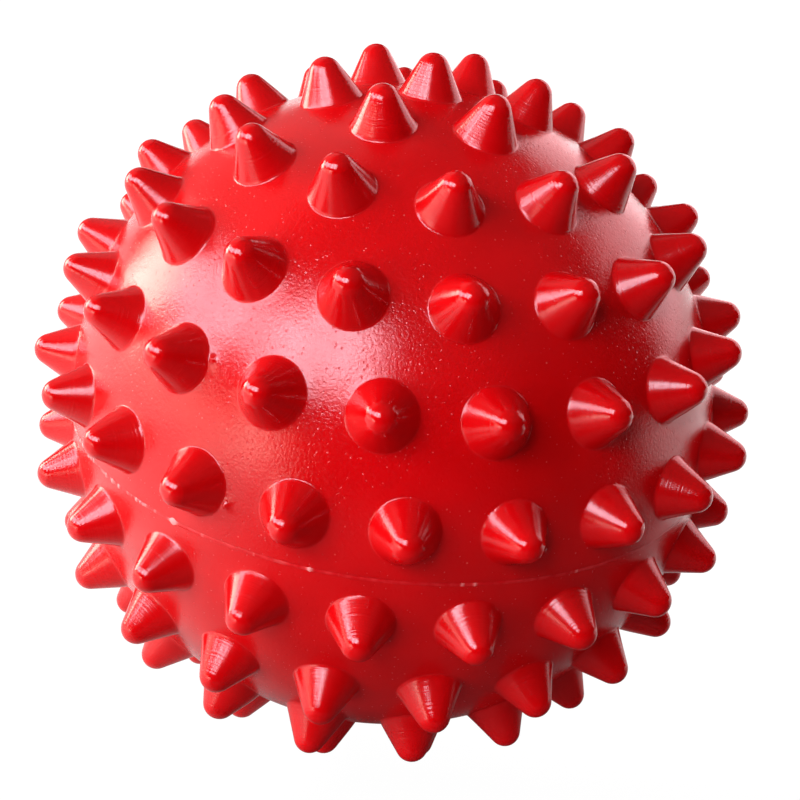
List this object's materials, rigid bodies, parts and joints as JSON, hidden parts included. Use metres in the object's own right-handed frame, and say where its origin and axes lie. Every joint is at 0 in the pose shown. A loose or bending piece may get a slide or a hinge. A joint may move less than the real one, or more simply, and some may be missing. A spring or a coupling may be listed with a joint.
{
  "type": "massage ball",
  "caption": "Hollow soft plastic massage ball covered in short blunt cone spikes, with a welded equator and a self-sealing inflation needle valve at its lower pole.",
  "frame": {"origin": "centre of the ball, which is also the centre of its spherical skin", "axes": "+Z along the polar axis, square to the welded equator and away from the valve; -Y towards the front; +X to the right"},
  "size_m": [0.089, 0.0892, 0.0883],
  "materials": {
    "shell_pvc": "satin moulded soft PVC, smoother and glossier on the spikes",
    "weld_pvc": "slightly rough trimmed weld flash",
    "valve_housing_rubber": "matte moulded rubber",
    "valve_core_rubber": "matte moulded rubber"
  },
  "bodies": {
    "ball": {"upper_shell": "shell_pvc", "lower_shell": "shell_pvc", "seam_weld": "weld_pvc", "valve_housing": "valve_housing_rubber"},
    "valve_plug": {"valve_core": "valve_core_rubber"}
  },
  "joints": [
    {"name": "valve_core_pull", "type": "slide", "parent": "ball", "child": "valve_plug", "axis": [0, 0, -1], "range_m": [0, 0.012]}
  ]
}
